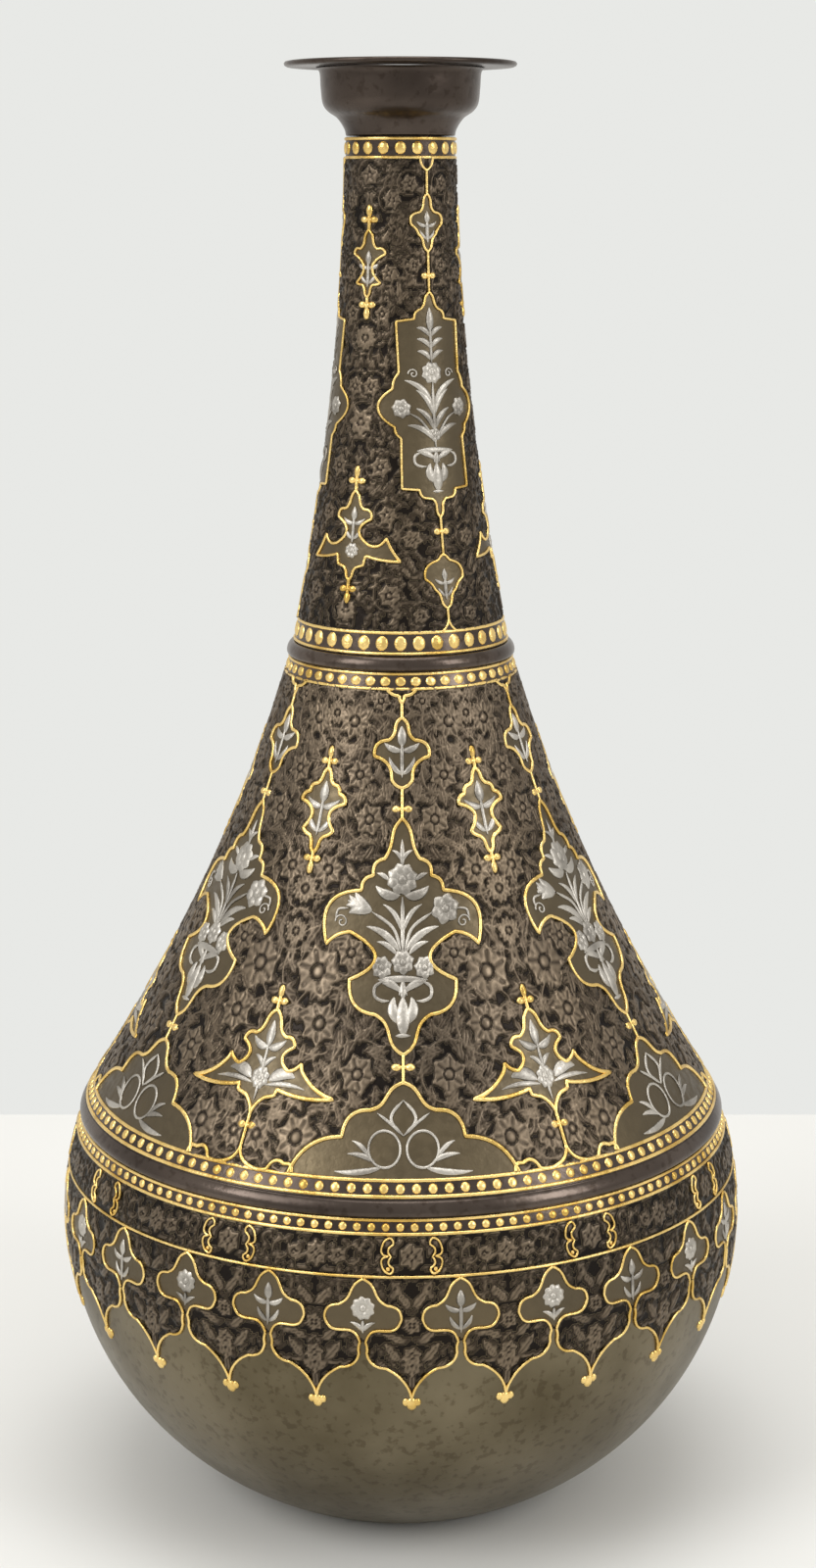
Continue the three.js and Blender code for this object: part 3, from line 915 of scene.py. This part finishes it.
def silver_leaf(batch, start, end, width, bend=0.0, height=0.5):
    """A tapered stroke from start to end whose middle line is bowed sideways as a parabola."""
    start, end = np.array(start, float), np.array(end, float)
    t = np.linspace(0, 1, 14)[:, None]
    along = end - start
    across = np.array([-along[1], along[0]])
    path = start + along * t + across * 4 * bend * t * (1 - t)
    spread = 1.25 * width * (0.12 + 0.88 * np.sin(np.pi * t[:, 0] ** 0.85) ** 0.8)
    rise = height * (0.3 + 0.7 * np.sin(np.pi * t[:, 0]))
    stroke(batch, path, spread, rise, base=SILVER_LIFT)


def silver_line(batch, path, width):
    """A smooth line through a few points that narrows at its ends."""
    path = resample(smooth(path, 40), 0.4)
    along = np.linspace(0, 1, len(path))
    ends = np.minimum(1, 0.25 + 4 * np.minimum(along, along[::-1]))
    stroke(batch, path, 1.35 * width * ends, 0.46, base=SILVER_LIFT)


def leaf_pairs(batch, rows):
    """Leaves and their mirror images, in rows of (start x, start z, end x, end z, width, bend)."""
    for x, z, end_x, end_z, width, bend in rows:
        for side in (-1, 1):
            silver_leaf(batch, (x * side, z), (end_x * side, end_z), width, bend * side)


def line_pair(batch, path, width):
    """A silver line and its mirror image."""
    for side in (-1, 1):
        silver_line(batch, [(x * side, z) for x, z in path], width)


def rose(batch, x, z, radius, petals):
    """Petals round an eye, over a low dome."""
    dome(batch, x, z, radius * 0.92, radius * 0.92, 0.42, 16)
    for k in range(petals):
        turn = 2 * math.pi * k / petals + 0.3
        c, s = math.cos(turn), math.sin(turn)
        start = (x + 0.25 * radius * c, z + 0.25 * radius * s)
        end = (x + radius * c, z + radius * s)
        silver_leaf(batch, start, end, radius * 0.78, 0.0, 0.55)
    dome(batch, x, z, radius * 0.32, radius * 0.32, 0.75, 10)


def tulip(batch, x, z, size, heading):
    """Five petals fanned about a heading from one foot."""
    for spread, reach in ((-0.75, 0.95), (0.75, 0.95), (-0.3, 1.05), (0.3, 1.05), (0.0, 1.0)):
        turn = heading + spread
        start = (x - 0.6 * size * math.cos(heading), z - 0.6 * size * math.sin(heading))
        end = (x + reach * size * math.cos(turn), z + reach * size * math.sin(turn))
        silver_leaf(batch, start, end, size * 0.62, -0.12 * np.sign(spread), 0.6)


def curl(batch, x, z, radius, side):
    """A spiral whose radius falls evenly as it winds."""
    turn = np.linspace(0, 2.6 * np.pi, 30)
    reach = radius * (1 - 0.85 * turn / turn[-1])
    path = np.stack([x + side * reach * np.cos(turn), z + reach * np.sin(turn)], axis=1)
    stroke(batch, path, 0.45, 0.4, base=SILVER_LIFT)


def urn(batch, foot, scale):
    """A footed heart-shaped urn with a wide lip and two looped handles."""
    def at(x, z):
        """A place on the urn, from the middle of its foot."""
        return (x * scale, foot + z * scale)

    silver_leaf(batch, at(-1.9, 0.3), at(1.9, 0.3), 0.9 * scale)
    silver_leaf(batch, at(0, 0.3), at(0, 8.9), 3.2 * scale, 0, 0.75)
    silver_leaf(batch, at(0, 8.4), at(0, 12.8), 1.6 * scale, 0, 0.6)
    for side in (-1, 1):
        silver_leaf(batch, at(0.2 * side, 3.2), at(2.1 * side, 8.8), 2.6 * scale, -0.22 * side, 0.6)
        silver_leaf(batch, at(5.8 * side, 12.5), at(0.2 * side, 9.8), 1.7 * scale, -0.1 * side)
    handle = [at(4.9, 12.4), at(6.9, 11.2), at(7.0, 9.0), at(5.2, 8.0), at(3.4, 8.0)]
    line_pair(batch, handle, 0.75 * scale)
    line_pair(batch, [at(1.0, 9.2), at(0.7, 10.6), at(2.2, 11.6), at(5.6, 12.6)], 0.6 * scale)
    silver_leaf(batch, at(-6.2, 12.7), at(6.2, 12.7), 1.5 * scale, 0.02)


# Silver in rows: roses as (x, z, radius, petals), and leaves as leaf_pairs takes them
BOUQUET_ROSES = ((0, 160.6, 2.9, 7), (-5.3, 159.4, 2.7, 7), (5.5, 159.4, 2.7, 7), (10.8, 172.6, 3.7, 6),
                 (0, 179.6, 3.9, 8))
BOUQUET_LEAVES = (
    (0.8, 163.0, 9.0, 168.6, 1.7, 0.12), (1.6, 162.4, 6.4, 165.2, 1.3, 0.12),
    (0.5, 168.0, 4.9, 173.8, 1.2, 0.14), (3.4, 179.4, 6.4, 181.0, 1.1, 0.1),
    (0, 183.6, 2.6, 186.4, 1.0, 0.15))
SPRAY_LEAVES = (
    (0, 139.4, 4.6, 141.4, 1.7, -0.14), (2.6, 132.2, 9.4, 133.6, 2.6, 0.16),
    (2.0, 131.2, 12.8, 131.2, 1.1, 0.06), (0, 134.6, 3.0, 137.4, 1.2, 0.14))
SCROLL_LEAVES = (
    (5.4, 116.0, 17.0, 114.8, 1.3, -0.05), (8.4, 118.0, 12.6, 121.4, 1.1, 0.1),
    (7.0, 117.0, 13.8, 118.6, 1.1, 0.08))
NECK_LEAVES = (
    (0.3, 286.6, 7.0, 290.4, 1.4, 0.13), (0.3, 289.4, 4.6, 294.6, 1.4, 0.13),
    (0.3, 293.0, 4.4, 299.2, 1.4, 0.13), (0.3, 295.6, 7.2, 301.6, 1.4, 0.13),
    *[(0.2, low, 3.6, low + 2.2, 1.2, 0.16) for low in (306.6, 309.6, 312.4)])


def shoulder_silver():
    """A bouquet in an urn in each large cartouche, and sprays in the smaller frames."""
    for k in range(SHOULDER_REPEATS):
        centre = SHOULDER_TURN + SHOULDER_PITCH * k
        batch = Batch(centre)
        urn(batch, 143.9, 1.0)
        silver_line(batch, [(0, 162.6), (0, 168), (0, 175.5)], 0.9)
        silver_leaf(batch, (0, 182.6), (0, 189.0), 1.2)
        for x, z, radius, petals in BOUQUET_ROSES:
            rose(batch, x, z, radius, petals)
        tulip(batch, -10.0, 173.0, 4.0, math.radians(160))
        leaf_pairs(batch, BOUQUET_LEAVES)
        line_pair(batch, [(0.4, 163), (2.4, 168.4), (7.6, 172.0)], 0.7)
        line_pair(batch, [(13.6, 172.6), (16.2, 172.2), (17.0, 170.2)], 0.5)
        for side in (-1, 1):
            silver_leaf(batch, (0.6 * side, 176.0), (6.6 * side, 178.0), 2.2, -0.16 * side, 0.6)
            curl(batch, 15.4 * side, 169.4, 1.7, side)
        batch.build(f"shoulder_bouquet_{k + 1}", SILVER)
        batch = Batch(centre)
        lily(batch, 203.6, 1.0)
        foot_scrolls(batch)
        batch.centre = centre + SHOULDER_PITCH / 2
        lily(batch, 188.8, 1.05)
        leaf_spray(batch)
        batch.build(f"shoulder_sprays_{k + 1}", SILVER)


def lily(batch, foot, scale):
    """A stem with a bud and two pairs of leaves."""
    silver_line(batch, [(0, foot), (0, foot + 4 * scale), (0, foot + 8.5 * scale)], 0.8)
    silver_leaf(batch, (0, foot + 7.5 * scale), (0, foot + 12.4 * scale), 2.2 * scale, 0, 0.6)
    leaf_pairs(batch, (
        (0, foot + 6.6 * scale, 4.4 * scale, foot + 8.4 * scale, 1.5 * scale, -0.14),
        (0, foot + 0.8, 3.2 * scale, foot + 4.9 * scale, 1.3 * scale, -0.12)))


def leaf_spray(batch):
    """The spread leaf's plant: a rosette, a bud above it and leaves to both sides."""
    silver_line(batch, [(0, 127.6), (0, 133), (0, 140.4)], 0.7)
    silver_leaf(batch, (0, 139.6), (0, 145.4), 2.2, 0, 0.6)
    rose(batch, 0, 132.6, 2.6, 8)
    leaf_pairs(batch, SPRAY_LEAVES)


def foot_scrolls(batch):
    """The foot arch's scrolls: two circles, a pointed loop over them and leaves outside."""
    turn = full_turn(34)
    for side in (-1, 1):
        circle = np.stack([side * (4.7 + 3.9 * np.cos(turn)), 119.8 + 3.9 * np.sin(turn)], axis=1)
        stroke(batch, circle[::side], 0.7, 0.42, True, SILVER_LIFT)
    line_pair(batch, [(0, 130.2), (2.6, 127.6), (2.8, 125.4), (0, 122.6)], 0.7)
    line_pair(batch, [(0, 122.6), (3.4, 125.4), (6.4, 127.4)], 0.6)
    leaf_pairs(batch, SCROLL_LEAVES)


def neck_silver():
    """A bouquet in an urn in each neck cartouche, and small plants in the frames round it."""
    for k in range(NECK_REPEATS):
        centre = NECK_TURN + NECK_PITCH * k
        batch = Batch(centre)
        urn(batch, 273.6, 0.82)
        silver_line(batch, [(0, 284.8), (0, 294), (0, 301)], 0.7)
        silver_line(batch, [(0, 306), (0, 311), (0, 315)], 0.6)
        silver_leaf(batch, (0, 313.6), (0, 319.6), 1.8, 0, 0.6)
        rose(batch, 0, 303.4, 2.8, 8)
        rose(batch, 0, 288.0, 1.8, 6)
        for side in (-1, 1):
            rose(batch, 8.4 * side, 294.6, 2.5, 7)
            curl(batch, 5.0 * side, 303.2, 1.3, side)
        line_pair(batch, [(0.3, 287), (3.6, 291.6), (6.4, 293.4)], 0.55)
        leaf_pairs(batch, NECK_LEAVES)
        lily(batch, 246.8, 0.62)
        lily(batch, 335.6, 0.62)
        batch.centre = centre + NECK_PITCH / 2
        lily(batch, 324.6, 0.72)
        lily(batch, 261.0, 0.72)
        rose(batch, 0, 258.9, 2.0, 8)
        batch.build(f"neck_bouquet_{k + 1}", SILVER)


def belly_silver():
    """A rose or a lily by turns in the lappets."""
    batch = Batch()
    for k in range(LAPPETS):
        batch.centre = BELLY_TURN + LAPPET_PITCH * (k + 0.5)
        if k % 2:
            rose(batch, 0, 83.6, 3.0, 9)
            silver_line(batch, [(0, 77.4), (0, 79), (0, 80.6)], 0.7)
            leaf_pairs(batch, ((0, 77.6, 3.0, 80.0, 1.1, 0.14),))
        else:
            lily(batch, 77.2, 0.86)
    batch.build("lappet_flowers", SILVER)


shoulder_silver()
neck_silver()
belly_silver()

FLOOR_FRONT, FLOOR_BACK, FLOOR_HALF_WIDTH = -3.0, 0.283, 3.0
FLOOR_COLOUR = (0.735, 0.735, 0.715, 1)
BACKDROP_COLOUR = (0.806, 0.813, 0.791, 1)
DAYLIGHT_COLOUR, DAYLIGHT = (0.96, 0.94, 0.90, 1), 0.78

# Lamps: (name, place, target, size, power)
LAMPS = (("left_softbox", (-1.1, -0.9, 1.1), (0, 0, 0.2), (0.7, 0.9), 11),
         ("right_softbox", (1.2, -0.8, 0.9), (0, 0, 0.2), (0.5, 0.9), 7),
         ("top_softbox", (0, -0.1, 1.6), (0, 0, 0.1), (1.0, 0.8), 9))


def stage_material():
    """Matt, off-white table top."""
    material = bpy.data.materials.new("pale_ground")
    material.use_nodes = True
    tree = material.node_tree
    set_inputs(tree, tree.nodes["Principled BSDF"], Base_Color=FLOOR_COLOUR, Roughness=0.7)
    return material


def make_stage():
    """A level table top whose far edge is as far behind the vase as in the photograph."""
    x, y = np.meshgrid([-FLOOR_HALF_WIDTH, FLOOR_HALF_WIDTH], [FLOOR_FRONT, -0.5, FLOOR_BACK])
    points = np.stack([x, y, 0 * x], axis=-1)
    mesh = bpy.data.meshes.new("studio_floor")
    mesh.from_pydata(points.reshape(-1, 3).tolist(), [], grid_faces(*x.shape).tolist())
    mesh.materials.append(stage_material())
    floor = bpy.data.objects.new("studio_floor", mesh)
    bpy.context.collection.objects.link(floor)


def area_light(name, place, target, size, power):
    """A soft rectangular lamp that faces its target."""
    data = bpy.data.lights.new(name, "AREA")
    data.shape = "RECTANGLE"
    data.size, data.size_y = size
    data.energy = power
    light = bpy.data.objects.new(name, data)
    light.location = place
    light.rotation_euler = (Vector(target) - Vector(place)).to_track_quat("-Z", "Y").to_euler()
    bpy.context.collection.objects.link(light)


def make_light():
    """Even daylight on the object, a pale backdrop for the camera, and three lamps."""
    world = bpy.data.worlds.new("studio")
    world.use_nodes = True
    tree = world.node_tree
    lit = set_inputs(tree, tree.nodes["Background"], Color=DAYLIGHT_COLOUR, Strength=DAYLIGHT)
    seen = set_inputs(tree, tree.nodes.new("ShaderNodeBackground"), Color=BACKDROP_COLOUR)
    path = tree.nodes.new("ShaderNodeLightPath")
    mix = tree.nodes.new("ShaderNodeMixShader")
    tree.links.new(path.outputs["Is Camera Ray"], mix.inputs["Fac"])
    tree.links.new(lit.outputs["Background"], mix.inputs[1])
    tree.links.new(seen.outputs["Background"], mix.inputs[2])
    tree.links.new(mix.outputs["Shader"], tree.nodes["World Output"].inputs["Surface"])
    bpy.context.scene.world = world
    for lamp in LAMPS:
        area_light(*lamp)


make_stage()
make_light()
bpy.context.scene.view_settings.view_transform = "Standard"
